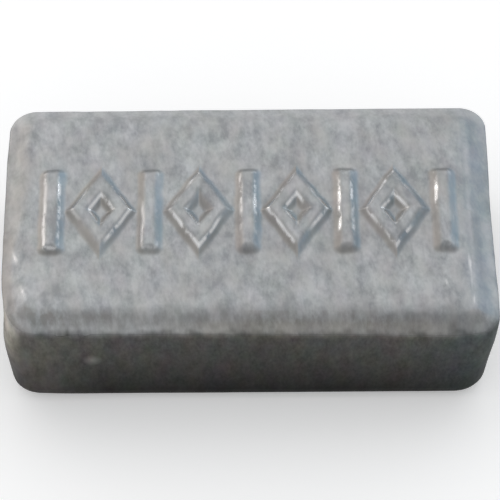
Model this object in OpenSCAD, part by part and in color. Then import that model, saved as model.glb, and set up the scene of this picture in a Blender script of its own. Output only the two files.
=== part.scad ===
// Small cast metal ingot, lying on its foot.
// One edge section is carried round a rounded rectangle: rounded foot edge, drafted wall,
// parting edge, lip, sloping shoulder and rounded top edge. A row of bars and lozenges
// stands up from the flat top. Lengths in mm, +X along the bar, +Z up, origin under the middle.

/* [Bar] */
// Length over the parting edge
bar_l = 26.8; // [22:0.1:34]
// Width over the parting edge
bar_w = 15.5; // [12:0.1:20]
// Corner radius in plan, over the parting edge
corner_r = 1.6; // [1.2:0.05:2.6]

/* [Lower body] */
// Height of the parting edge above the floor
parting_h = 6.8; // [5:0.1:8]
// Draft of the walls below the parting edge, in degrees
wall_draft = 3; // [1:0.5:6]
// Radius of the edge round the foot
foot_r = 1.2; // [0.4:0.05:1.6]

/* [Shoulder] */
// Width of the lip along the parting edge
lip_w = 0.55; // [0.1:0.05:0.6]
// Rise of the lip
lip_h = 0.22; // [0.02:0.01:0.3]
// Width of the shoulder's slope, above the lip
slope_w = 0.65; // [0.5:0.05:1.1]
// Rise of the shoulder's slope
slope_h = 0.48; // [0.3:0.01:1]
// Radius of the edge round the top
top_r = 1; // [0.3:0.05:1.2]

/* [Raised marks] */
// Height of the marks above the top
mark_h = 0.4; // [0.3:0.05:0.8]
// Width of a bar, and of a lozenge's sides
stroke_w = 0.95; // [0.6:0.05:1]
// Size of the marks across the ingot
mark_w = 5.4; // [4:0.1:6]
// Length of a lozenge along the ingot
lozenge_l = 3.4; // [3:0.1:4.5]
// Clear space between a bar and a lozenge
mark_gap = 0.5; // [0.3:0.05:1]
// Draft of the marks' walls, in degrees
mark_draft = 15; // [5:1:20]
// Smallest space between the marks and the edge of the flat top
mark_margin = 0.3; // [0.1:0.05:1]

/* [Hidden] */
$fn = 96;
metal = [0.64, 0.64, 0.65];
// Heights
lip_z = parting_h + lip_h;
top_z = lip_z + slope_h;
// Foot edge: how far the flat foot lies inside the parting edge
foot_in = (parting_h - foot_r) * tan(wall_draft) + foot_r / cos(wall_draft);
// Top edge: angle of the slope, length of the tangent, and how far the flat top lies inside the parting edge
slope_a = atan2(slope_h, slope_w);
top_tangent = top_r * tan(slope_a / 2);
top_in = lip_w + slope_w + top_tangent;
// The corner is never tighter than its edges need
least_r = 0.05;
plan_r = max(corner_r, foot_in + least_r, top_in + least_r);
core_l = bar_l - 2 * plan_r;
core_w = bar_w - 2 * plan_r;
// Distances from the corner's axis, for the centres of the two rounded edges
foot_x = plan_r - foot_in;
top_x = plan_r - top_in;
// Marks: as many lozenges as the flat top has room for, with a bar between and at each end
mark_pitch = stroke_w + lozenge_l + 2 * mark_gap;
flat_l = bar_l - 2 * top_in;
lozenges = floor((flat_l - 2 * mark_margin - stroke_w) / mark_pitch);
mark_root = 0.2;

// Half section of the edge, from the corner's axis outwards
module edge_section() {
    wall_x = foot_x + foot_r * cos(wall_draft);
    wall_z = foot_r - foot_r * sin(wall_draft);
    slope_x = top_x + top_r * sin(slope_a);
    slope_z = top_z - top_r + top_r * cos(slope_a);
    intersection() {
        union() {
            polygon([
                [0, 0], [foot_x, 0], [wall_x, wall_z], [plan_r, parting_h],
                [plan_r - lip_w, lip_z], [slope_x, slope_z], [top_x, top_z], [0, top_z]
            ]);
            translate([foot_x, foot_r]) circle(r = foot_r);
            translate([top_x, top_z - top_r]) circle(r = top_r);
        }
        square([plan_r, top_z]);
    }
}

// Whole section across the bar
module bar_section() {
    translate([-core_w / 2, 0]) square([core_w, top_z]);
    for (side = [0, 1])
        mirror([side, 0])
            translate([core_w / 2, 0]) edge_section();
}

// The plain bar: middle, two ends and four turned corners
module bar() {
    rotate([90, 0, 90])
        translate([0, 0, -core_l / 2]) linear_extrude(core_l) bar_section();
    for (turn = [0, 180])
        rotate(turn) {
            translate([core_l / 2, core_w / 2, 0])
                rotate([90, 0, 0]) linear_extrude(core_w) edge_section();
            translate([core_l / 2, core_w / 2, 0])
                rotate_extrude(angle = 90) edge_section();
            translate([core_l / 2, -core_w / 2, 0])
                rotate(-90) rotate_extrude(angle = 90) edge_section();
        }
}

// Drafted ridge along Y: width at its top, and drafts that lean out (1) or in (-1) towards the root
module ridge(width, length, lean = 1) {
    crest = width / 2;
    root = crest + lean * (mark_h + mark_root) * tan(mark_draft);
    rotate([90, 0, 0])
        translate([0, 0, -length / 2])
            linear_extrude(length)
                polygon([[-root, -mark_root], [root, -mark_root], [crest, mark_h], [-crest, mark_h]]);
}

// Bar with drafted sides and ends
module mark_bar() {
    reach = 2 * mark_w;
    intersection() {
        ridge(stroke_w, reach);
        rotate(90) ridge(mark_w, reach);
    }
}

// Drafted lozenge, drawn in from the marks' outline by inset
module lozenge(inset, lean) {
    side_a = atan2(lozenge_l, mark_w);
    across = mark_w * sin(side_a) - 2 * inset;
    reach = 2 * (mark_w + lozenge_l);
    intersection() {
        rotate(side_a) ridge(across, reach, lean);
        rotate(-side_a) ridge(across, reach, lean);
    }
}

// Hollow lozenge
module mark_lozenge() {
    difference() {
        lozenge(0, 1);
        lozenge(stroke_w, -1);
    }
}

// Row of marks, centred on the top
module marks() {
    first = -lozenges * mark_pitch / 2;
    for (i = [0 : lozenges])
        translate([first + i * mark_pitch, 0, 0]) mark_bar();
    for (i = [0 : lozenges - 1])
        translate([first + (i + 0.5) * mark_pitch, 0, 0]) mark_lozenge();
}

module ingot() {
    color(metal) {
        bar();
        translate([0, 0, top_z]) marks();
    }
}

ingot();
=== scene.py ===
import math
from types import SimpleNamespace

import bpy
import numpy as np
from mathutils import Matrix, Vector


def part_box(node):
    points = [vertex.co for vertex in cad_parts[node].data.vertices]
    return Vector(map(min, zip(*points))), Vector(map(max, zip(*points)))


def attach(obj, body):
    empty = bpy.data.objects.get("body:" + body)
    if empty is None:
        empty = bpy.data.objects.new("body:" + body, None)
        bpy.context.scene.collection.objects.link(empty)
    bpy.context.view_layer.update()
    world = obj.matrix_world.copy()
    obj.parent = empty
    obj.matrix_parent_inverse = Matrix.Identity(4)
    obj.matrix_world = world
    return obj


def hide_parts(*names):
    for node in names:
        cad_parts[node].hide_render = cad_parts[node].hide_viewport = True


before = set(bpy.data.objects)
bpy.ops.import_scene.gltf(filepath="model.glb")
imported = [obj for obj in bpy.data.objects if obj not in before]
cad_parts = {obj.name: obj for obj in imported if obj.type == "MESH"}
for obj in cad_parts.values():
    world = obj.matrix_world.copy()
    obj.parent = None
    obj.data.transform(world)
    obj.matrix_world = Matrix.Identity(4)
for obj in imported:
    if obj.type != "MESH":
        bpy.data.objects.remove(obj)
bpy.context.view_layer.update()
ingotLow, ingotHigh = (np.array(corner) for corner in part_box("ingot"))
ingotHalf = (ingotHigh - ingotLow)[:2] / 2
mm = 0.001
print("frame loaded, ingot", np.round((ingotHigh - ingotLow) / mm, 2), "mm")

scene = bpy.context.scene
scene.view_settings.view_transform = "Standard"


# Shared numpy helpers

def smoothStep(t):
    # Zero below 0, one above 1, and 3t^2 - 2t^3 between
    t = np.clip(t, 0.0, 1.0)
    return t * t * (3.0 - 2.0 * t)


def rise(value, start, run):
    # Zero up to the start, one from a run further on, and a smooth step between
    return smoothStep((value - start) / run)


def hill(value, middle, reach):
    # Bell curve: one at the middle, and 1/e a reach to either side
    return np.exp(-((value - middle) / reach) ** 2)


def band(value, middle, reach, sharpness=1.0):
    # One at the middle and zero a reach to either side, with a flat top where the sharpness is over 1
    return smoothStep(sharpness - sharpness * np.abs(value - middle) / reach)


def lumps(points, cell, seed):
    # Value noise: a random number at each corner of a cubic lattice, blended smoothly between, -1 to 1
    repeat = 16
    table = np.random.default_rng(seed).uniform(-1.0, 1.0, (repeat, repeat, repeat))
    place = points / cell
    corner = np.floor(place).astype(int)
    blend = smoothStep(place - corner)
    total = np.zeros(len(points))
    for step in np.ndindex(2, 2, 2):
        weight = np.prod(np.where(step, blend, 1.0 - blend), axis=1)
        i, j, k = ((corner + step) % repeat).T
        total += weight * table[i, j, k]
    return total


def layeredLumps(points, layers):
    # Sum of lumps, each layer with its weight, cell and seed
    return sum(weight * lumps(points, cell, seed) for weight, cell, seed in layers)


def gradedLine(low, high, spacing, count):
    # Places along a line, packed in inverse proportion to the wanted spacing at each place
    samples = 4001
    fine = np.linspace(low, high, samples)
    density = 1.0 / spacing(fine)
    run = np.concatenate([[0.0], np.cumsum(0.5 * (density[1:] + density[:-1]))])
    return np.interp(np.linspace(0.0, run[-1], count), run, fine)


# The ingot: one closed skin

ingotSizes = dict(
    partingHeight=6.8 * mm,
    # Corner radii: front left, front right, back left, back right
    partingCorners=(2.25 * mm, 1.15 * mm, 1.6 * mm, 1.5 * mm),
    wallCorners=(1.9 * mm, 1.15 * mm, 1.6 * mm, 1.5 * mm),   # a little below the parting edge
    footCorners=(1.4 * mm, 1.7 * mm, 1.2 * mm, 1.2 * mm),    # and down at the foot
    cornerBlend=0.15,            # share of the wall over which the first corners turn into the second
    wallDraft=math.radians(3.0),
    footRadius=1.2 * mm,
    lipWidth=0.55 * mm,
    lipRise=0.22 * mm,
    lipReach=1.5,                # how many of its widths the lip goes on, under the slope
    cove=0.14 * mm,              # soft hollow between lip and slope
    slopeWidth=0.65 * mm,
    slopeRise=0.48 * mm,
    topRadius=1.5 * mm,
    # Raised marks
    markHeight=0.40 * mm,
    strokeWidth=0.95 * mm,
    markWidth=5.4 * mm,
    lozengeLength=3.4 * mm,
    markGap=0.5 * mm,
    lozenges=4,
    strokeRound=0.25 * mm,       # rounding of a mark's corners in plan
    crestRun=0.36 * mm,          # how far a mark's worn crest reaches in from its outline
    rootRun=0.34 * mm,           # and its root reaches out
    markWander=0.05 * mm,        # how far its outline wanders
    markLumps=(0.7 * mm, 23),    # over lumps of this size and seed
    crestLoss=0.02 * mm,         # uneven loss of its height
    crestLumps=(1.3 * mm, 29),
    # Unevenness of the cast top, nil at the parting edge and full some way in
    sag=0.05 * mm,               # broad
    sagLumps=(3.1 * mm, 3),
    ripple=0.007 * mm,           # and finer
    rippleLumps=(0.5 * mm, 5),
    settleWidth=1.2 * mm,
    wander=0.10 * mm,            # how far the shoulder wanders in and out
    wanderLumps=[(1.0, 1.9 * mm, 17), (0.6, 0.75 * mm, 19)],   # weight, size and seed
    wanderWidth=0.7 * mm,
    rightSlack=1.2,              # how many wanders further in it lies along the right end
    nicks=[(-10.1, -7.75, 0.30, 0.14), (-8.7, -7.75, 0.22, 0.10)],  # x, y, radius, depth in mm
    # Worn parting edge
    partingRound=0.03 * mm,      # how far it turns down
    partingTurn=0.15 * mm,       # and over what width
    backRound=0.2,               # share of that at the back
    backRun=(-2.2 * mm, 2.0 * mm),         # start, from the back of the outline, and run
    partingDrop=0.25 * mm,       # how far it dips along the front
    dipStart=0.2,                # share of the dip at the left end
    dipRun=(-8.0 * mm, 20.0 * mm),         # where it grows to the right: start and run along X
    dipFrontRun=(-1.0 * mm, 7.0 * mm),     # and towards the front
    dipReturn=1.5,               # how much it comes up again
    dipReturnRun=(11.4 * mm, 1.9 * mm),
    dipMore=0.75,                # a further dip just before that
    dipMoreBand=(9.8 * mm, 1.9 * mm),      # middle and reach along X
    dipMoreFrontRun=(3.0 * mm, 4.0 * mm),
    dipWidth=1.0 * mm,           # how far up the shoulder the dip is felt
    # Low lumps of the walls, always inwards, so that the skin stays within the nominal size
    wallLumps=[(0.035 * mm, 2.6 * mm, 11), (0.012 * mm, 0.7 * mm, 13)],    # depth, size and seed
    lumpsWidth=1.1 * mm,         # how far up the shoulder they are felt
    lumpsFootRun=(0.1 * mm, 1.2 * mm),     # and where above the floor they start
    backCalm=0.7,                # how much shallower they are at the right of the back
    backCalmRuns=((-2.0 * mm, 2.0 * mm), (-6.0 * mm, 10.0 * mm)),
    rightCalm=0.6,               # and at the back of the right end
    rightCalmRuns=((-1.0 * mm, 1.0 * mm), (-1.0 * mm, 2.0 * mm)),
    dents=[                      # x, y, z, radius, depth in mm, and a depth below zero bulges
        (-13.3, -6.2, 7.0, 1.5, 0.24),
        (-13.2, -6.6, 4.3, 1.2, -0.08),
        (-12.2, -7.0, 0.8, 1.8, 0.08),
        (-13.4, 6.6, 6.8, 2.0, 0.10),
        (13.4, 0.8, 6.8, 2.0, 0.06),
        (13.1, -6.8, 5.0, 2.2, -0.09),
    ],
    # Mesh
    columns=386,
    rows=180,
    shoulderReach=1.9 * mm,
    shoulderSpacing=0.075 * mm,
    markReach=0.25 * mm,         # how far past the marks their spacing goes on
    markSpacing=(0.068 * mm, 0.06 * mm),   # along X and Y
    fieldSpacing=0.15 * mm,
    edgeDrops=(0.03 * mm, 0.09 * mm, 0.20 * mm, 0.35 * mm),    # rings just below the parting edge
    wallStart=0.6 * mm,
    wallRings=7,
    footRings=9,
    underRings=(0.75, 0.45, 0.18),         # rings under the foot, as shares of its outline
)


def cornerRadius(x, y, radii):
    # Radius of the corner whose quarter of the plan a point is in
    frontLeft, frontRight, backLeft, backRight = radii
    return np.where(y < 0, np.where(x < 0, frontLeft, frontRight), np.where(x < 0, backLeft, backRight))


def roundCorners(x, y, half, radius):
    # Square corner patches become quarter discs: each coordinate shrinks by sqrt(1 - other^2 / 2)
    a = np.clip((np.abs(x) - half[0] + radius) / radius, 0.0, 1.0)
    b = np.clip((np.abs(y) - half[1] + radius) / radius, 0.0, 1.0)
    newX = np.where(a > 0, half[0] - radius + radius * a * np.sqrt(1.0 - 0.5 * b * b), np.abs(x))
    newY = np.where(b > 0, half[1] - radius + radius * b * np.sqrt(1.0 - 0.5 * a * a), np.abs(y))
    return np.sign(x) * newX, np.sign(y) * newY


def outlineFrame(x, y, half, radius):
    # Distance inwards from the rounded rectangle's outline, and the direction outwards
    a, b = np.abs(x) - half[0] + radius, np.abs(y) - half[1] + radius
    over = np.column_stack([np.maximum(a, 0.0), np.maximum(b, 0.0)])
    length = np.linalg.norm(over, axis=1)
    inward = radius - length - np.minimum(np.maximum(a, b), 0.0)
    outward = over * np.sign(np.column_stack([x, y])) / np.maximum(length, 1e-9)[:, None]
    return inward, outward


def shoulderHeight(inward, size):
    # Over the distance inwards: the lip, then the slope and the round into the flat top, with a smooth
    # maximum of the two that leaves a small cove between them
    lipWidth, radius, cove = size["lipWidth"], size["topRadius"], size["cove"]
    slopeAngle = math.atan2(size["slopeRise"], size["slopeWidth"])
    slopeFoot = size["partingHeight"] + size["lipRise"]
    lip = size["partingHeight"] + size["lipRise"] * np.minimum(inward / lipWidth, size["lipReach"])
    slope = slopeFoot + (inward - lipWidth) * math.tan(slopeAngle)
    roundReach = radius * math.sin(slopeAngle)
    flatStart = lipWidth + size["slopeWidth"] + radius * math.tan(slopeAngle / 2)
    fromFlat = np.clip(flatStart - inward, 0.0, roundReach)
    roundEdge = slopeFoot + size["slopeRise"] - radius + np.sqrt(radius ** 2 - fromFlat ** 2)
    raised = np.where(inward < flatStart - roundReach, slope, roundEdge)
    share = np.clip(0.5 + 0.5 * (raised - lip) / cove, 0.0, 1.0)
    return lip + (raised - lip) * share + cove * share * (1.0 - share)


def markOutline(x, y, size):
    # Signed distance to the nearest stroke, negative inside: rounded bars, and the sides of hollow lozenges
    stroke, markWidth, corner = size["strokeWidth"], size["markWidth"], size["strokeRound"]
    pitch = stroke + size["lozengeLength"] + 2 * size["markGap"]
    reach = size["lozenges"] * pitch / 2
    barPlace = np.clip(np.round((x + reach) / pitch), 0, size["lozenges"]) * pitch - reach
    a = np.abs(x - barPlace) - stroke / 2 + corner
    b = np.abs(y) - markWidth / 2 + corner
    bar = np.hypot(np.maximum(a, 0), np.maximum(b, 0)) + np.minimum(np.maximum(a, b), 0) - corner
    lozengePlace = (np.clip(np.floor((x + reach) / pitch), 0, size["lozenges"] - 1) + 0.5) * pitch - reach
    slant = math.atan2(size["lozengeLength"], markWidth)
    rim = np.abs(x - lozengePlace) * math.cos(slant) + (np.abs(y) - markWidth / 2) * math.sin(slant)
    lozenge = np.abs(rim + stroke / 2) - stroke / 2
    return np.minimum(bar, lozenge)


def topGrid(size):
    # Rectangular grid with rounded corners, finer on the shoulder and the marks, and what its shape is drawn
    # from at each point: the distance inwards, the way outwards and the distance from the marks' outline
    markBand = size["markWidth"] / 2 + size["markReach"]

    def spacingX(x):
        onShoulder = ingotHalf[0] - np.abs(x) < size["shoulderReach"]
        return np.where(onShoulder, size["shoulderSpacing"], size["markSpacing"][0])

    def spacingY(y):
        onShoulder = ingotHalf[1] - np.abs(y) < size["shoulderReach"]
        outside = np.where(onShoulder, size["shoulderSpacing"], size["fieldSpacing"])
        return np.where(np.abs(y) < markBand, size["markSpacing"][1], outside)

    lineX = gradedLine(-ingotHalf[0], ingotHalf[0], spacingX, size["columns"])
    lineY = gradedLine(-ingotHalf[1], ingotHalf[1], spacingY, size["rows"])
    flatX, flatY = (grid.ravel() for grid in np.meshgrid(lineX, lineY))
    radius = cornerRadius(flatX, flatY, size["partingCorners"])
    x, y = roundCorners(flatX, flatY, ingotHalf, radius)
    inward, outward = outlineFrame(x, y, ingotHalf, radius)
    plan = np.column_stack([x, y, np.zeros_like(x)])
    return SimpleNamespace(
        flatX=flatX,
        flatY=flatY,
        x=x,
        y=y,
        plan=plan,
        inward=np.maximum(inward, 0.0),
        outward=outward,
        back=rise(y - ingotHalf[1], *size["backRun"]),
        fromMark=markOutline(x, y, size) + size["markWander"] * lumps(plan, *size["markLumps"]),
    )


def topHeight(top, size):
    # Shoulder over the distance inwards, plus the marks' worn profile, less the turned edge, sag and nicks
    plan, inward = top.plan, top.inward
    wander = layeredLumps(plan, size["wanderLumps"]) - size["rightSlack"] * smoothStep(top.outward[:, 0])
    wander *= size["wander"] * rise(inward, 0.0, size["wanderWidth"])
    z = shoulderHeight(np.maximum(inward + wander, 0.0), size)
    crest = rise(-top.fromMark, -size["rootRun"], size["rootRun"] + size["crestRun"])
    z += (size["markHeight"] - size["crestLoss"] * (1.0 + lumps(plan, *size["crestLumps"]))) * crest
    turn = np.clip(1.0 - inward / size["partingTurn"], 0.0, 1.0) ** 2
    z -= size["partingRound"] * (1.0 - (1.0 - size["backRound"]) * top.back) * turn
    settle = rise(inward, 0.0, size["settleWidth"])
    z -= settle * size["sag"] * (0.5 + 0.5 * lumps(plan, *size["sagLumps"]))
    z -= settle * size["ripple"] * (1.0 + lumps(plan, *size["rippleLumps"]))
    for nickX, nickY, nickRadius, depth in np.array(size["nicks"]) * mm:
        z -= depth * np.exp(-2.0 * ((top.x - nickX) ** 2 + (top.y - nickY) ** 2) / nickRadius ** 2)
    return z


def wallSection(size):
    # Drafted wall from the parting edge down, then a quarter round into the foot: distance inwards and height
    draft, radius, height = size["wallDraft"], size["footRadius"], size["partingHeight"]
    edgeDrops = size["partingRound"] + np.array(size["edgeDrops"])
    drop = np.concatenate([edgeDrops, np.linspace(size["wallStart"], height - radius, size["wallRings"])])
    centreIn = (height - radius) * math.tan(draft) + radius / math.cos(draft)
    turn = np.linspace(draft, math.pi / 2, size["footRings"])
    inward = np.concatenate([drop * math.tan(draft), centreIn - radius * np.cos(turn)])
    z = np.concatenate([height - drop, radius * (1.0 - np.sin(turn))])
    return inward, z


def wallGrid(top, loop, size):
    # Rings below the top's outline: it is drawn in by the section, and its corners change down to the foot
    sectionIn, sectionZ = wallSection(size)
    inward, z = np.repeat(sectionIn, len(loop)), np.repeat(sectionZ, len(loop))
    shareX = np.tile(top.flatX[loop] / ingotHalf[0], len(sectionIn))
    shareY = np.tile(top.flatY[loop] / ingotHalf[1], len(sectionIn))
    half = ingotHalf[0] - inward, ingotHalf[1] - inward
    depth = 1.0 - z / size["partingHeight"]
    corners = (size["partingCorners"], size["wallCorners"], size["footCorners"])
    parting, below, foot = (cornerRadius(shareX, shareY, radii) for radii in corners)
    radius = below + (foot - below) * depth
    radius += (parting - below) * (1.0 - rise(depth, 0.0, size["cornerBlend"]))
    x, y = roundCorners(shareX * half[0], shareY * half[1], half, radius)
    outward = outlineFrame(x, y, half, radius)[1]
    return SimpleNamespace(x=x, y=y, z=z, depth=depth, outward=outward, rings=len(sectionIn))


def pressWalls(skin, top, wall, size):
    # Moves the skin inwards by low lumps, shallower at the back right, and by dents as bell curves
    x, y = skin[:, 0], skin[:, 1]
    push = sum(depth * (1.0 + lumps(skin, cell, seed)) for depth, cell, seed in size["wallLumps"])
    felt = [1.0 - rise(top.inward, 0.0, size["lumpsWidth"]), rise(wall.z, *size["lumpsFootRun"])]
    push *= np.concatenate(felt)
    nearBack, alongBack = size["backCalmRuns"]
    push *= 1.0 - size["backCalm"] * rise(y - ingotHalf[1], *nearBack) * rise(x, *alongBack)
    nearRight, alongRight = size["rightCalmRuns"]
    push *= 1.0 - size["rightCalm"] * rise(x - ingotHalf[0], *nearRight) * rise(y, *alongRight)
    dents = np.array(size["dents"]) * mm
    reach = np.linalg.norm(skin[:, None] - dents[None, :, :3], axis=2) / dents[:, 3]
    push += (np.exp(-reach ** 2) * dents[:, 4]).sum(axis=1)
    skin[:, :2] -= np.concatenate([top.outward, wall.outward]) * push[:, None]


def dipEdge(skin, top, wall, size):
    # Lowers the parting edge along the front, most towards the right, and raises it again at that corner
    x, y = skin[:, 0], skin[:, 1]
    felt = [1.0 - rise(top.inward, 0.0, size["dipWidth"]), wall.z / size["partingHeight"]]
    dip = size["dipStart"] + (1.0 - size["dipStart"]) * rise(x, *size["dipRun"])
    dip *= rise(-y, *size["dipFrontRun"])
    dip *= 1.0 - size["dipReturn"] * rise(x, *size["dipReturnRun"])
    dip += size["dipMore"] * hill(x, *size["dipMoreBand"]) * rise(-y, *size["dipMoreFrontRun"])
    skin[:, 2] -= size["partingDrop"] * np.concatenate(felt) * dip


def buildIngot(size):
    # Top grid, wall rings from its outline, and rings under the foot that draw in to one point
    top = topGrid(size)
    index = np.arange(size["columns"] * size["rows"]).reshape(size["rows"], size["columns"])
    loop = np.concatenate([index[0, :-1], index[:-1, -1], index[-1, :0:-1], index[:0:-1, 0]])
    around = len(loop)
    wall = wallGrid(top, loop, size)
    topPoints = np.column_stack([top.x, top.y, topHeight(top, size)])
    skin = np.concatenate([topPoints, np.column_stack([wall.x, wall.y, wall.z])])
    pressWalls(skin, top, wall, size)
    dipEdge(skin, top, wall, size)
    shares = np.array(size["underRings"])
    under = (skin[-around:] * (1.0, 1.0, 0.0) * shares[:, None, None]).reshape(-1, 3)
    points = np.clip(np.concatenate([skin, under, np.zeros((1, 3))]), ingotLow, ingotHigh)
    # Quads of the top, then of each ring below the last, then a fan to the point under the middle
    ringCount = wall.rings + len(shares)
    rings = np.vstack([loop, index.size + np.arange(ringCount * around).reshape(ringCount, around)])
    nextRings = np.roll(rings, -1, axis=1)
    topQuads = np.stack([index[:-1, :-1], index[:-1, 1:], index[1:, 1:], index[1:, :-1]], axis=-1)
    ringQuads = np.stack([rings[:-1], rings[1:], nextRings[1:], nextRings[:-1]], axis=-1)
    quads = np.concatenate([topQuads.reshape(-1, 4), ringQuads.reshape(-1, 4)])
    fan = np.column_stack([rings[-1], np.full(around, len(points) - 1), nextRings[-1]])
    mesh = bpy.data.meshes.new("castIngot")
    mesh.from_pydata(points.tolist(), [], quads.tolist() + fan.tolist())
    mesh.polygons.foreach_set("use_smooth", np.ones(len(mesh.polygons), dtype=bool))
    mesh.validate()
    piece = bpy.data.objects.new("cast_ingot", mesh)
    scene.collection.objects.link(piece)
    print("ingot skin", len(points), "points,", 2 * len(quads) + around, "triangles")
    return piece, top, wall


# Masks on the mesh, which the metal reads: rubbed, darkened, tinted or dull skin, and painted glints,
# highlights, shade and light tints

skinWear = dict(
    # A band is a middle, a reach and in some a sharpness, and a run is a start and a length
    # Marks: bands over the distance from their outline
    rubBand=(-0.08 * mm, 0.11 * mm, 1.3),
    rootBand=(0.14 * mm, 0.26 * mm),
    sideBand=(0.05 * mm, 0.32 * mm, 1.3),
    backRootShade=0.1,               # share of the roots' painted shade where a mark faces the back
    rootFacing=0.8,              # how squarely it faces the front for all of it
    slopeStep=0.02 * mm,         # step for the slope of the distance from a mark
    # Spots: x, y, half width along X and half length along Y in mm, slant and strength
    polish=[                     # rubbed, on the shoulders, with painted glints
        (-12.15, -5.4, 0.06, 0.38, 0.33, 0.9),
        (-12.2, -5.6, 0.45, 0.6, 0.33, 0.42),
        (-12.62, -2.9, 0.06, 0.38, 0.33, 1.0),
        (11.93, -3.65, 0.06, 0.45, 0.06, 0.85),
        (11.98, -4.9, 0.045, 0.45, 0.0, 0.4),
        (12.02, -6.0, 0.05, 0.25, 0.0, 0.6),
        (10.6, -4.85, 0.05, 0.15, 0.25, 0.6),
    ],
    patches=[                    # of dark skin on the front lip, and of bare metal where below zero
        (-9.65, -7.53, 0.14, 0.24, 0.0, 0.5),
        (-8.45, -7.6, 0.2, 0.2, 0.0, 0.3),
        (9.9, -7.47, 0.5, 0.2, 0.0, -0.5),
        (10.9, -7.42, 0.3, 0.3, 0.0, 0.4),
    ],
    # Darker front slope: a band over the distance inwards, and its changes along X
    slopeDarkBand=(0.75 * mm, 0.7 * mm),
    slopeDarkChanges=[                     # place, reach and change
        (-11.4 * mm, 1.4 * mm, 1.2),
        (-7.5 * mm, 0.9 * mm, 0.5),
        (-5.4 * mm, 3.6 * mm, -0.5),
        (8.3 * mm, 1.6 * mm, -0.25),
        (11.3 * mm, 1.9 * mm, -0.95),
    ],
    # Worn front left corner, with painted shade on its slope, and a painted highlight where its rim is
    # lightened
    cornerFacing=(0.29, 0.63),   # start and run over how far left the skin faces
    cornerTurn=(0.85, 0.15),     # and where it has turned past the corner
    cornerTurnLoss=0.15,
    cornerRun=(-4.0 * mm, 2.6 * mm),       # start, from the front of the outline, and run
    cornerBare=0.95,
    # painted shade on the slope at the front left corner
    cornerShade=1.4,
    cornerShadeWidth=1.1 * mm,
    cornerDepth=0.6,             # share of the wall's height that is worn
    cornerRimHighlight=0.25,              # how much less dull its rim is, a painted highlight over the shaded crease
    # Dark wall skin, partly painted shade, that creeps from the walls over the parting edge in teeth
    teeth=[(0.7, 0.9 * mm, 41), (0.8, 0.3 * mm, 43)],      # weight, size and seed
    creep=0.5,
    creepTeeth=0.2,              # change of that with the teeth
    creepCorner=0.25,            # more of it at the right corner
    creepCornerSharp=2.0,
    creepCornerReach=0.2 * mm,
    creepReach=(0.32 * mm, 0.36 * mm, 0.54 * mm),          # how far in at the left, middle and right end
    creepRuns=((-4.0 * mm, 4.0 * mm), (11.2 * mm, 1.2 * mm)),   # where along X one turns into the next
    creepRagged=0.35,            # how far the teeth move its end
    creepEnds=0.18,              # share of it along the two ends
    rimShade=0.22,                # thin darker rim right at the edge, painted shade over its edge highlight
    rimTeeth=0.1,
    rimWidth=0.06 * mm,
    # Painted warm light on the left shoulder: a band over the distance inwards, with its values at the back
    # and at the front
    warmStrength=(0.85, 1.45),
    warmMiddle=(0.6 * mm, 0.2 * mm),
    warmReach=(0.975 * mm, 0.6 * mm),
    warmSharpness=1.5,
    warmRun=(-1.0 * mm, 4.0 * mm),         # start and run towards the front
    blueRun=(11.0 * mm, 1.6 * mm),         # the right shoulder is blue with painted cool light, from here along X
    shoulderLightTint=0.55,
    # Right shoulder: painted shade on its slope between painted highlights on its crest and its lip
    shadeBand=(0.88 * mm, 0.24 * mm),
    shade=(0.55, 0.4),           # mean, and change over lumps
    shadeLumps=(1.1 * mm, 47),
    rightCrest=0.8,
    rightCrestBand=(1.27 * mm, 0.14 * mm),
    rightLip=0.4,
    rightLipRun=(0.2 * mm, 0.35 * mm),
    leftCrest=0.3,               # and a faint painted highlight on the crest at the front of the left one
    leftCrestBand=(0.7 * mm, 0.25 * mm),
    # Front lip: browner from the middle to near the right end, and painted highlights in places
    lipTintBand=(0.28 * mm, 0.56 * mm, 1.4),
    lipTintRuns=((-7.0 * mm, 6.0 * mm), (10.0 * mm, 1.5 * mm)),
    lipHighlight=(0.7, 0.4),          # at the left and further right
    lipPaleRun=(-8.0 * mm, 8.0 * mm),
    lipPaleBand=(0.36 * mm, 0.28 * mm),
    lipPaleLumps=(0.9 * mm, 37),
    lipPaleRamp=(-0.1, 0.6),
    backHighlight=1.12,               # painted highlight along the back edge
    patchPale=2.0,               # the bare patches
    # Walls, over shares of their height
    wallFresh=(0.86, 0.03, 0.10),          # dullness at the edge, and its change to the right and with teeth; less than further down, a painted highlight against the edge's shading
    wallFreshLimits=(0.8, 1.0),
    wallFreshRun=(-6.0 * mm, 8.0 * mm),
    wallDullDepth=0.07,
    wallRimDepth=0.10,
    wallEndsRun=(7.5 * mm, 4.0 * mm),
    wallMiddleBand=(2.7 * mm, 4.5 * mm),
    footShadePower=1.5,               # how late the painted shade darkens the wall towards the foot
    footShadeEnds=0.2,                # less so at the ends
    footShadeMiddle=0.08,             # and more so in the middle
    leftBare=0.07,               # thin wear of the whole left end
)


def spots(x, y, places):
    # Sum of slanted bell curves in plan
    total = np.zeros_like(x)
    for spotX, spotY, spotWidth, spotLength, slant, strength in places:
        across, along = x / mm - spotX, y / mm - spotY
        total += strength * np.exp(-((across + slant * along) / spotWidth) ** 2 - (along / spotLength) ** 2)
    return total


def cornerMask(y, outward, wear):
    # The front left corner: grows as the skin turns from the front to the left, and towards the front
    left = -outward[:, 0]
    facing = rise(left, *wear["cornerFacing"])
    facing *= 1.0 - wear["cornerTurnLoss"] * rise(left, *wear["cornerTurn"])
    return facing * rise(-y - ingotHalf[1], *wear["cornerRun"])


def lipTint(x, wear):
    # A rise and a fall along X
    start, end = wear["lipTintRuns"]
    return rise(x, *start) * (1.0 - rise(x, *end))


def edgeTeeth(x, y, wear):
    # Ragged end of the dark skin along the parting edge: lumps of two sizes, about -1 to 1
    return layeredLumps(np.column_stack([x, y, np.zeros_like(x)]), wear["teeth"])


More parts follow.
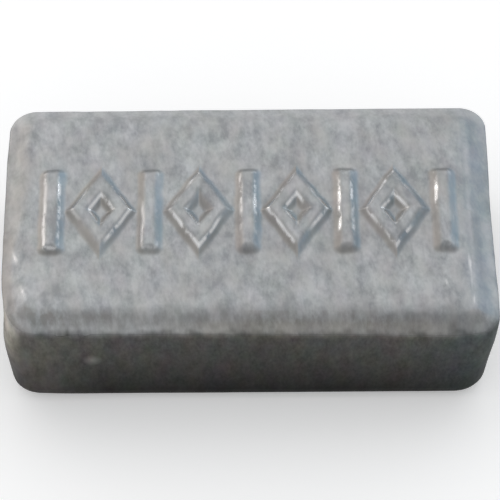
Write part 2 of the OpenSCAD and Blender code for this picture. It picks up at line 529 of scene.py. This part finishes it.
def markMasks(top, size, wear):
    # Bands along the marks' outline, by the way that a mark's wall faces: the slope of the distance from it
    x, y, step = top.x, top.y, wear["slopeStep"]
    faceX = (markOutline(x + step, y, size) - markOutline(x - step, y, size)) / (2 * step)
    faceY = (markOutline(x, y + step, size) - markOutline(x, y - step, size)) / (2 * step)
    # rubbed crests, brightened as painted glints
    rub = band(top.fromMark, *wear["rubBand"])
    # painted shade in the roots, most where a mark faces the front
    facing = wear["backRootShade"] + (1.0 - wear["backRootShade"]) * rise(-faceY, 0.0, wear["rootFacing"])
    root = band(top.fromMark, *wear["rootBand"]) * facing
    # painted light on a mark's sides: warm where it faces left, below zero, and cool where it faces right
    side = np.clip(faceX, -1.0, 1.0) * band(top.fromMark, *wear["sideBand"])
    return rub, root, side


def creepMask(top, front, wear):
    # Dullness over the distance inwards, partly painted shade: full at the parting edge, and gone where the
    # teeth end
    x, inward = top.x, top.inward
    outX, outY = wear["creepCornerSharp"] * top.outward.T
    rightCorner = smoothStep(outX) * smoothStep(-outY)
    teeth = edgeTeeth(x, top.y, wear)
    left, middle, right = wear["creepReach"]
    toMiddle, toRight = wear["creepRuns"]
    reach = left + (middle - left) * rise(x, *toMiddle) + (right - middle) * rise(x, *toRight)
    reach += wear["creepCornerReach"] * rightCorner
    creep = wear["creep"] + wear["creepTeeth"] * teeth + wear["creepCorner"] * rightCorner
    creep *= 1.0 - smoothStep(inward / reach - wear["creepRagged"] * teeth)
    # a thin darker rim at the edge, painted shade over its edge highlight
    rim = (wear["rimShade"] - wear["rimTeeth"] * teeth) * (1.0 - rise(inward, 0.0, wear["rimWidth"]))
    share = np.maximum(front, wear["creepEnds"] * np.abs(top.outward[:, 0]) * (1.0 - top.back))
    return share * (creep + rim * (1.0 - rightCorner))


def shoulderMasks(top, front, wear):
    # Painted light: tint below zero for warm light on the left shoulder, above it for cool light on the right
    # one, painted shade on the right slope, painted highlights in bands
    x, inward, outX = top.x, top.inward, top.outward[:, 0]
    leftFront = rise(-top.y, *wear["warmRun"]) * (x < 0)
    warmStrength, warmMiddle, warmReach = (
        back + (ahead - back) * leftFront
        for back, ahead in (wear["warmStrength"], wear["warmMiddle"], wear["warmReach"])
    )
    warm = warmStrength * outX * band(inward, warmMiddle, warmReach, wear["warmSharpness"])
    blue = rise(x, *wear["blueRun"]) * (1.0 - front)
    right = smoothStep(outX)
    mean, change = wear["shade"]
    shade = right * hill(inward, *wear["shadeBand"]) * (mean + change * lumps(top.plan, *wear["shadeLumps"]))
    # painted highlights: the right crest, a faint left crest and the right lip
    pale = wear["rightCrest"] * hill(inward, *wear["rightCrestBand"]) * (x > 0) * blue
    pale += wear["leftCrest"] * leftFront * hill(inward, *wear["leftCrestBand"])
    pale += wear["rightLip"] * right * (1.0 - top.back) * (1.0 - rise(inward, *wear["rightLipRun"]))
    return np.where(x < 0, warm, blue), shade, pale


def topMasks(top, size, wear):
    # Bands along the marks and, over the distance inwards, along the shoulder and the front
    x, inward = top.x, top.inward
    front = smoothStep(-top.outward[:, 1])
    corner = cornerMask(top.y, top.outward, wear)
    rub, root, markSideLight = markMasks(top, size, wear)
    shoulderLightTint, shade, pale = shoulderMasks(top, front, wear)
    patch = spots(x, top.y, wear["patches"])
    stain = 1.0 + sum(change * hill(x, place, reach) for place, reach, change in wear["slopeDarkChanges"])
    stain *= front * band(inward, *wear["slopeDarkBand"])
    # painted shade on the slope at the front left corner
    cornerShade = wear["cornerShade"] * corner * (1.0 - rise(inward, 0.0, wear["cornerShadeWidth"]))
    leftPale, rightPale = wear["lipHighlight"]
    lipHighlight = front * (leftPale + (rightPale - leftPale) * rise(x, *wear["lipPaleRun"]))
    lipHighlight *= band(inward, *wear["lipPaleBand"])
    lipHighlight *= rise(lumps(top.plan, *wear["lipPaleLumps"]), *wear["lipPaleRamp"])
    return dict(
        rub=rub,
        # painted shade in the marks' roots
        root=root,
        # painted warm and cool light on the sides of the marks and the shoulders
        side=markSideLight + wear["shoulderLightTint"] * shoulderLightTint,
        shade=shade,
        # polished spots on the shoulders, brightened as painted glints
        polish=spots(x, top.y, wear["polish"]),
        wear=wear["cornerBare"] * corner,
        # dark wall skin, partly painted shade, creeping over the parting edge
        dull=np.clip(creepMask(top, front, wear) + patch, 0.0, 1.0),
        stain=np.maximum(stain, cornerShade),
        lip=front * lipTint(x, wear) * band(inward, *wear["lipTintBand"]),
        # painted highlights along the back edge, the crests and the lip, and pale bare patches
        edge=np.maximum.reduce([wear["backHighlight"] * top.back, pale, -wear["patchPale"] * patch, lipHighlight]),
    )


def wallMasks(wall, wear):
    # Wear that fades downwards from the parting edge, a painted highlight just below it, and painted shade
    # that darkens the wall towards the foot
    x, depth = wall.x, wall.depth
    corner = cornerMask(wall.y, wall.outward, wear)
    ends = rise(np.abs(x), *wear["wallEndsRun"])
    rim = 1.0 - rise(depth, 0.0, wear["wallRimDepth"])
    # less dull just under the edge than further down, a painted highlight against the edge's shading
    mean, rightChange, teethChange = wear["wallFresh"]
    fresh = mean + rightChange * rise(x, *wear["wallFreshRun"]) + teethChange * edgeTeeth(x, wall.y, wear)
    fresh = np.clip(fresh, *wear["wallFreshLimits"])
    dull = fresh + (1.0 - fresh) * rise(depth, 0.0, wear["wallDullDepth"])
    # painted shade that darkens the wall towards the foot
    low = depth ** wear["footShadePower"] * (1.0 - wear["footShadeEnds"] * ends)
    cornerWorn = corner * (1.0 - rise(depth, 0.0, wear["cornerDepth"]))
    return dict(
        # the worn corner's rim less dull, a painted highlight over the shaded crease
        dull=dull - wear["cornerRimHighlight"] * corner * rim,
        low=low + wear["footShadeMiddle"] * hill(x, *wear["wallMiddleBand"]) * (1.0 - rim),
        wear=np.maximum(cornerWorn, wear["leftBare"] * ends * (x < 0) * (1.0 - rim)),
        lip=smoothStep(-wall.outward[:, 1]) * lipTint(x, wear) * rim,
    )


def paintWear(piece, top, wall, size, wear):
    # One value a point: the top's mask, the wall's, and under the foot the wall's last one
    onTop, onWall = topMasks(top, size, wear), wallMasks(wall, wear)
    underCount = len(piece.data.vertices) - len(top.x) - len(wall.x)
    names = sorted(set(onTop) | set(onWall))
    for name in names:
        topValues = onTop.get(name, np.zeros_like(top.x))
        wallValues = onWall.get(name, np.zeros_like(wall.x))
        underValues = np.full(underCount, wallValues[-1])
        layer = piece.data.attributes.new(name, "FLOAT", "POINT")
        layer.data.foreach_set("value", np.concatenate([topValues, wallValues, underValues]))
    print("wear painted:", ", ".join(names))
    return names


# Shared node helpers

def addNode(tree, kind, sockets, **settings):
    # New node with its settings made, and each named or numbered socket set or linked
    node = tree.nodes.new("ShaderNode" + kind)
    for name, value in settings.items():
        setattr(node, name, value)
    for socket, value in sockets.items():
        if isinstance(value, bpy.types.NodeSocket):
            tree.links.new(value, node.inputs[socket])
        else:
            node.inputs[socket].default_value = value
    return node


def ramp(tree, value, low, high, toLow=0.0, toHigh=1.0, **settings):
    # From low to high, held at its ends
    sockets = {"Value": value, "From Min": low, "From Max": high, "To Min": toLow, "To Max": toHigh}
    return addNode(tree, "MapRange", sockets, **settings).outputs["Result"]


def combine(tree, operation, first, second):
    # Sum, product or the like of two values
    return addNode(tree, "Math", {0: first, 1: second}, operation=operation).outputs[0]


def mixColour(tree, factor, first, second, blend="MIX"):
    # Two colours, each a link or a plain tuple, mixed by a factor
    first, second = ((*colour, 1.0) if isinstance(colour, tuple) else colour for colour in (first, second))
    sockets = {0: factor, 6: first, 7: second}  # where a Mix node takes colours
    return addNode(tree, "Mix", sockets, data_type="RGBA", blend_type=blend).outputs[2]


# Cast metal: speckled skin on top, duller and darker below the parting edge, partly as painted shade, rubbed
# bright along the marks with painted glints

castMetal = dict(
    # Top
    bright=(0.498, 0.513, 0.521),
    speck=(0.324, 0.336, 0.345),
    warm=(0.445, 0.434, 0.424),
    # painted reflections of warm light from the left and cool light from the right
    leftWarmLight=(0.478, 0.440, 0.406),
    rightCoolLight=(0.372, 0.462, 0.533),
    # painted shade in the marks' roots
    rootShade=(0.29, 0.28, 0.26),
    # the darker front slope, with painted shade at the front left corner
    stain=(0.316, 0.311, 0.302),
    # painted highlights, and pale bare metal in patches
    edge=(0.64, 0.65, 0.655),
    paleHighlightSpeck=(0.48, 0.49, 0.495),
    paleHighlightStrength=0.6,
    # darker towards the right
    rightDarker=(0.92, 0.92, 0.925),
    rightDarkerRun=(-12.0 * mm, 12.0 * mm),    # grows along X
    # painted shade on the right shoulder's slope
    shade=(0.76, 0.78, 0.81),
    lipTint=(1.0, 0.965, 0.91),
    # rubbed metal, brightened as a painted glint
    rubbedGlint=(0.84, 0.84, 0.84),
    topHue=0.06,                 # faint change of hue
    # Walls
    # dark dull wall skin, partly painted shade
    dull=(0.124, 0.122, 0.114),
    dullSpeck=(0.070, 0.069, 0.065),
    # painted reflection of cool light from the right
    coolReflection=(0.72, 0.89, 0.96),
    coolReflectionRun=(8.0 * mm, 13.0 * mm),         # grows along X
    # painted shade at the foot
    foot=(0.005, 0.005, 0.005),
    wear=(0.60, 0.55, 0.495),
    blotch=(0.20, 0.198, 0.19),
    blotchPlace=(-8.45 * mm, -7.56 * mm, 4.2 * mm),
    blotchEdge=(0.55 * mm, 0.05 * mm),     # from nothing to all of it
    wallHue=0.18,
    # Patterns: scale, detail and roughness, on coordinates stretched along the pour and down the walls
    stretch=(1.0, 1.8, 2.1),
    stretchFrom=(0.0, 0.0, -4.6 * mm),
    stretchTurn=(0.0, 0.0, math.radians(8.0)),
    mottle=(1800.0, 4.0, 0.6),
    cloud=(480.0, 2.0, 0.5),
    tone=(900.0, 2.0, 0.5),
    grain=(6500.0, 2.0, 0.5),
    broad=(800.0, 2.0, 0.5),
    hue=(1100.0, 2.0, 0.5),
    speckleShares=(0.62, 0.28, 0.45),      # of mottle, grain and broad
    fineShares=(0.5, 0.5),                 # of mottle and grain
    # How a pattern or a mask becomes a layer: from low and high, to low and high
    speckleRamp=(0.52, 0.83),
    fineRamp=(0.31, 0.69),
    warmRamp=(0.40, 0.75, 0.0, 0.6),
    leftRamp=(0.0, -1.0, 0.0, 0.64),
    rightRamp=(0.0, 1.0, 0.0, 0.72),
    rightBreak=(0.35, 0.65, 1.15, 0.6),
    rootBreak=(0.3, 0.7, 0.22, 0.84),
    slopeDarkBreak=(0.62, 0.38, 0.05, 1.0),
    footShadeBreak=(0.3, 0.7, 0.85, 1.0),
    wearBreak=(0.3, 0.6, 0.5, 1.0),
    rubCloud=(0.42, 0.52, 0.0, 0.95),
    rubBreak=(0.42, 0.54),
    polishBreak=(0.35, 0.6, 0.5, 0.95),
    roughness=(0.3, 0.7, 0.55, 0.45),
    rubbedSmooth=0.36,           # how much smoother rubbed metal is
    glint=(0.74, 0.74, 0.74),    # reflection at a glancing angle
    bumpStrength=0.5,
    bumpDepth=0.05 * mm,
)


def metalPatterns(tree, look):
    # Noises on stretched Object coordinates, two speckles that sum them, and the plain coordinates
    spot = addNode(tree, "TexCoord", {}).outputs["Object"]
    stretched = {
        "Vector": spot,
        "Scale": look["stretch"],
        "Location": look["stretchFrom"],
        "Rotation": look["stretchTurn"],
    }
    place = addNode(tree, "Mapping", stretched, vector_type="TEXTURE").outputs["Vector"]

    def noise(name, output="Fac"):
        scale, detail, roughness = look[name]
        sockets = {"Vector": place, "Scale": scale, "Detail": detail, "Roughness": roughness}
        return addNode(tree, "TexNoise", sockets).outputs[output]

    def weighted(values, shares):
        parts = [combine(tree, "MULTIPLY", value, share) for value, share in zip(values, shares)]
        total = parts[0]
        for part in parts[1:]:
            total = combine(tree, "ADD", total, part)
        return total

    mottle, grain = noise("mottle"), noise("grain")
    return SimpleNamespace(
        spot=spot,
        alongX=addNode(tree, "SeparateXYZ", {0: spot}).outputs["X"],
        mottle=mottle,
        cloud=noise("cloud"),
        tone=noise("tone"),
        hue=noise("hue", "Color"),
        speckle=weighted((mottle, grain, noise("broad")), look["speckleShares"]),
        fineSpeckle=weighted((mottle, grain), look["fineShares"]),
    )


def topColour(tree, look, pattern, mask):
    # Speckled metal under warm clouds, sides tinted with painted warm and cool light, roots with painted
    # shade, a darker slope, painted highlights, darker towards the right, and painted shade
    speckle = ramp(tree, pattern.speckle, *look["speckleRamp"])
    skin = mixColour(tree, speckle, look["speck"], look["bright"])
    skin = mixColour(tree, ramp(tree, pattern.tone, *look["warmRamp"]), skin, look["warm"])
    skin = mixColour(tree, ramp(tree, mask["side"], *look["leftRamp"]), skin, look["leftWarmLight"])
    rightCoolLight = ramp(tree, mask["side"], *look["rightRamp"])
    layers = [
        (rightCoolLight, ramp(tree, pattern.mottle, *look["rightBreak"]), look["rightCoolLight"]),
        (mask["root"], ramp(tree, pattern.cloud, *look["rootBreak"]), look["rootShade"]),
        (mask["stain"], ramp(tree, pattern.mottle, *look["slopeDarkBreak"]), look["stain"]),
    ]
    for amount, broken, colour in layers:
        skin = mixColour(tree, combine(tree, "MULTIPLY", amount, broken), skin, colour)
    pale = mixColour(tree, speckle, look["paleHighlightSpeck"], look["edge"])
    skin = mixColour(tree, combine(tree, "MULTIPLY", mask["edge"], look["paleHighlightStrength"]), skin, pale)
    rightDarkerShare = ramp(tree, pattern.alongX, *look["rightDarkerRun"])
    skin = mixColour(tree, rightDarkerShare, skin, look["rightDarker"], "MULTIPLY")
    skin = mixColour(tree, mask["shade"], skin, look["shade"], "MULTIPLY")
    return mixColour(tree, look["topHue"], skin, pattern.hue, "SOFT_LIGHT")


def wallColour(tree, look, pattern, mask):
    # Finely speckled dark skin, partly painted shade, a painted cool reflection at the right, painted shade
    # at the foot, with a pale blotch and a worn corner
    speckle = ramp(tree, pattern.fineSpeckle, *look["fineRamp"])
    lower = mixColour(tree, speckle, look["dullSpeck"], look["dull"])
    lower = mixColour(tree, ramp(tree, pattern.alongX, *look["coolReflectionRun"]), lower, look["coolReflection"], "MULTIPLY")
    # painted shade towards the foot
    footShadeShare = combine(tree, "MULTIPLY", mask["low"], ramp(tree, pattern.tone, *look["footShadeBreak"]))
    lower = mixColour(tree, footShadeShare, lower, look["foot"])
    toBlotch = {0: pattern.spot, 1: look["blotchPlace"]}
    reach = addNode(tree, "VectorMath", toBlotch, operation="DISTANCE").outputs["Value"]
    lower = mixColour(tree, ramp(tree, reach, *look["blotchEdge"]), lower, look["blotch"])
    bare = combine(tree, "MULTIPLY", mask["wear"], ramp(tree, pattern.mottle, *look["wearBreak"]))
    lower = mixColour(tree, bare, lower, look["wear"])
    return mixColour(tree, look["wallHue"], lower, pattern.hue, "SOFT_LIGHT")


def makeCastMetal(look, maskNames):
    # Top and wall colours mixed by the dull mask, partly painted shade, then tinted along the lip and rubbed
    # bright with painted glints, and smooth
    material = bpy.data.materials.new("castMetal")
    material.use_nodes = True
    tree = material.node_tree
    pattern = metalPatterns(tree, look)
    mask = {name: addNode(tree, "Attribute", {}, attribute_name=name).outputs["Fac"] for name in maskNames}
    upper, lower = topColour(tree, look, pattern, mask), wallColour(tree, look, pattern, mask)
    skin = mixColour(tree, mask["dull"], upper, lower)
    skin = mixColour(tree, mask["lip"], skin, look["lipTint"], "MULTIPLY")
    # rubbed crests and polished spots: smoother metal, and painted glints in their colour
    rubBreak = ramp(tree, pattern.mottle, *look["rubBreak"])
    rubbedGlint = combine(tree, "MULTIPLY", ramp(tree, pattern.cloud, *look["rubCloud"]), rubBreak)
    rubbedGlint = combine(tree, "MULTIPLY", mask["rub"], rubbedGlint)
    polished = combine(tree, "MULTIPLY", mask["polish"], ramp(tree, pattern.mottle, *look["polishBreak"]))
    worn = combine(tree, "MAXIMUM", rubbedGlint, polished)
    skin = mixColour(tree, worn, skin, look["rubbedGlint"])
    smoother = combine(tree, "MULTIPLY", worn, look["rubbedSmooth"])
    rough = combine(tree, "SUBTRACT", ramp(tree, pattern.mottle, *look["roughness"]), smoother)
    grains = {"Height": pattern.speckle, "Strength": look["bumpStrength"], "Distance": look["bumpDepth"]}
    bump = addNode(tree, "Bump", grains).outputs["Normal"]
    shader = tree.nodes["Principled BSDF"]
    shader.inputs["Metallic"].default_value = 1.0
    shader.inputs["Specular Tint"].default_value = (*look["glint"], 1.0)
    for socket, value in (("Base Color", skin), ("Roughness", rough), ("Normal", bump)):
        tree.links.new(value, shader.inputs[socket])
    return material


ingot, ingotTop, ingotWall = buildIngot(ingotSizes)
wearNames = paintWear(ingot, ingotTop, ingotWall, ingotSizes, skinWear)
ingot.data.materials.append(makeCastMetal(castMetal, wearNames))
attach(ingot, "root")
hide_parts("ingot")
print("metal assigned")


# Floor

floorLook = dict(reach=2.0, colour=(0.92, 0.92, 0.92), roughness=0.9, gloss=0.1, glow=0.32)


def buildFloor(look):
    # One flat square under the ingot
    reach = look["reach"]
    corners = [(-reach, -reach, 0), (reach, -reach, 0), (reach, reach, 0), (-reach, reach, 0)]
    mesh = bpy.data.meshes.new("paleFloor")
    mesh.from_pydata(corners, [], [(0, 1, 2, 3)])
    floor = bpy.data.objects.new("pale_floor", mesh)
    scene.collection.objects.link(floor)
    material = bpy.data.materials.new("paleFloor")
    material.use_nodes = True
    tree = material.node_tree
    shader = tree.nodes["Principled BSDF"]
    shader.inputs["Base Color"].default_value = (*look["colour"], 1.0)
    shader.inputs["Roughness"].default_value = look["roughness"]
    shader.inputs["Specular IOR Level"].default_value = look["gloss"]
    # White where it is seen, directly or in the metal, over the shadow that it still takes
    path = addNode(tree, "LightPath", {})
    seen = path.outputs["Is Camera Ray"]
    for kind in ("Is Glossy Ray", "Is Transmission Ray"):
        seen = combine(tree, "ADD", seen, path.outputs[kind])
    shader.inputs["Emission Color"].default_value = (1.0, 1.0, 1.0, 1.0)
    tree.links.new(combine(tree, "MULTIPLY", seen, look["glow"]), shader.inputs["Emission Strength"])
    mesh.materials.append(material)


buildFloor(floorLook)
print("floor laid")


# Light: a soft room, brighter above and behind, with a large soft panel there, and more to the left and right

roomLight = dict(
    colour=(0.98, 0.99, 1.0),
    towards=(-0.16, 0.75, 0.645),
    spread=(-0.7, 0.9),          # cosines between which the room turns from dim to bright
    strength=(0.34, 0.80),       # of its dim and its bright side
    aim=(0.0, 0.0, 0.004),       # what the panels face, in m
    panels=[                     # name, place in m, width and height in m, power in W, colour
        ("back panel", (0.02, 0.26, 0.38), (0.42, 0.42), 0.19, (1.0, 0.99, 0.98)),
        ("left panel", (-0.30, 0.22, 0.11), (0.24, 0.24), 0.045, (1.0, 0.82, 0.68)),
        ("right panel", (0.30, 0.22, 0.11), (0.24, 0.24), 0.022, (0.35, 0.70, 1.0)),
        ("left strip", (-0.18, 0.216, 0.102), (0.12, 0.008), 0.026, (1.0, 0.97, 0.93)),
        ("right strip", (0.18, 0.216, 0.102), (0.12, 0.008), 0.022, (0.93, 0.97, 1.0)),
    ],
)


def placeFacing(thing, place, aim):
    # Puts a lamp or a camera in its place, with its view along the line to its aim
    thing.location = place
    thing.rotation_euler = (Vector(aim) - Vector(place)).to_track_quat("-Z", "Y").to_euler()
    scene.collection.objects.link(thing)


def lightRoom(room):
    # The world's strength grows with the cosine of the angle to the bright side
    world = bpy.data.worlds.new("softRoom")
    world.use_nodes = True
    tree = world.node_tree
    background = tree.nodes["Background"]
    background.inputs["Color"].default_value = (*room["colour"], 1.0)
    ways = {0: addNode(tree, "TexCoord", {}).outputs["Generated"], 1: room["towards"]}
    cosine = addNode(tree, "VectorMath", ways, operation="DOT_PRODUCT").outputs["Value"]
    strength = ramp(tree, cosine, *room["spread"], *room["strength"], interpolation_type="SMOOTHSTEP")
    tree.links.new(strength, background.inputs["Strength"])
    scene.world = world
    for name, place, size, power, colour in room["panels"]:
        lamp = bpy.data.lights.new(name, "AREA")
        lamp.shape = "RECTANGLE"
        lamp.size, lamp.size_y = size
        lamp.energy = power
        lamp.color = colour
        placeFacing(bpy.data.objects.new(name, lamp), place, room["aim"])


lightRoom(roomLight)
print("light set")


# Camera

view = dict(
    distance=159.6 * mm,
    elevation=math.radians(54.0),
    azimuth=math.radians(-0.47),
    aim=(0.09 * mm, -2.748 * mm, 7.587 * mm),
    lens=202.6,                  # in mm, as the sensor's width is
    sensor=36.0,
    clipStart=10.0 * mm,
)


def placeCamera(shot):
    # On a sphere round the origin, at the photograph's elevation and azimuth
    up, side = shot["elevation"], shot["azimuth"]
    way = Vector((math.sin(side) * math.cos(up), -math.cos(side) * math.cos(up), math.sin(up)))
    camera = bpy.data.objects.new("camera", bpy.data.cameras.new("camera"))
    camera.data.sensor_width = shot["sensor"]
    camera.data.lens = shot["lens"]
    camera.data.clip_start = shot["clipStart"]
    placeFacing(camera, shot["distance"] * way, shot["aim"])
    scene.camera = camera


placeCamera(view)
print("camera placed")
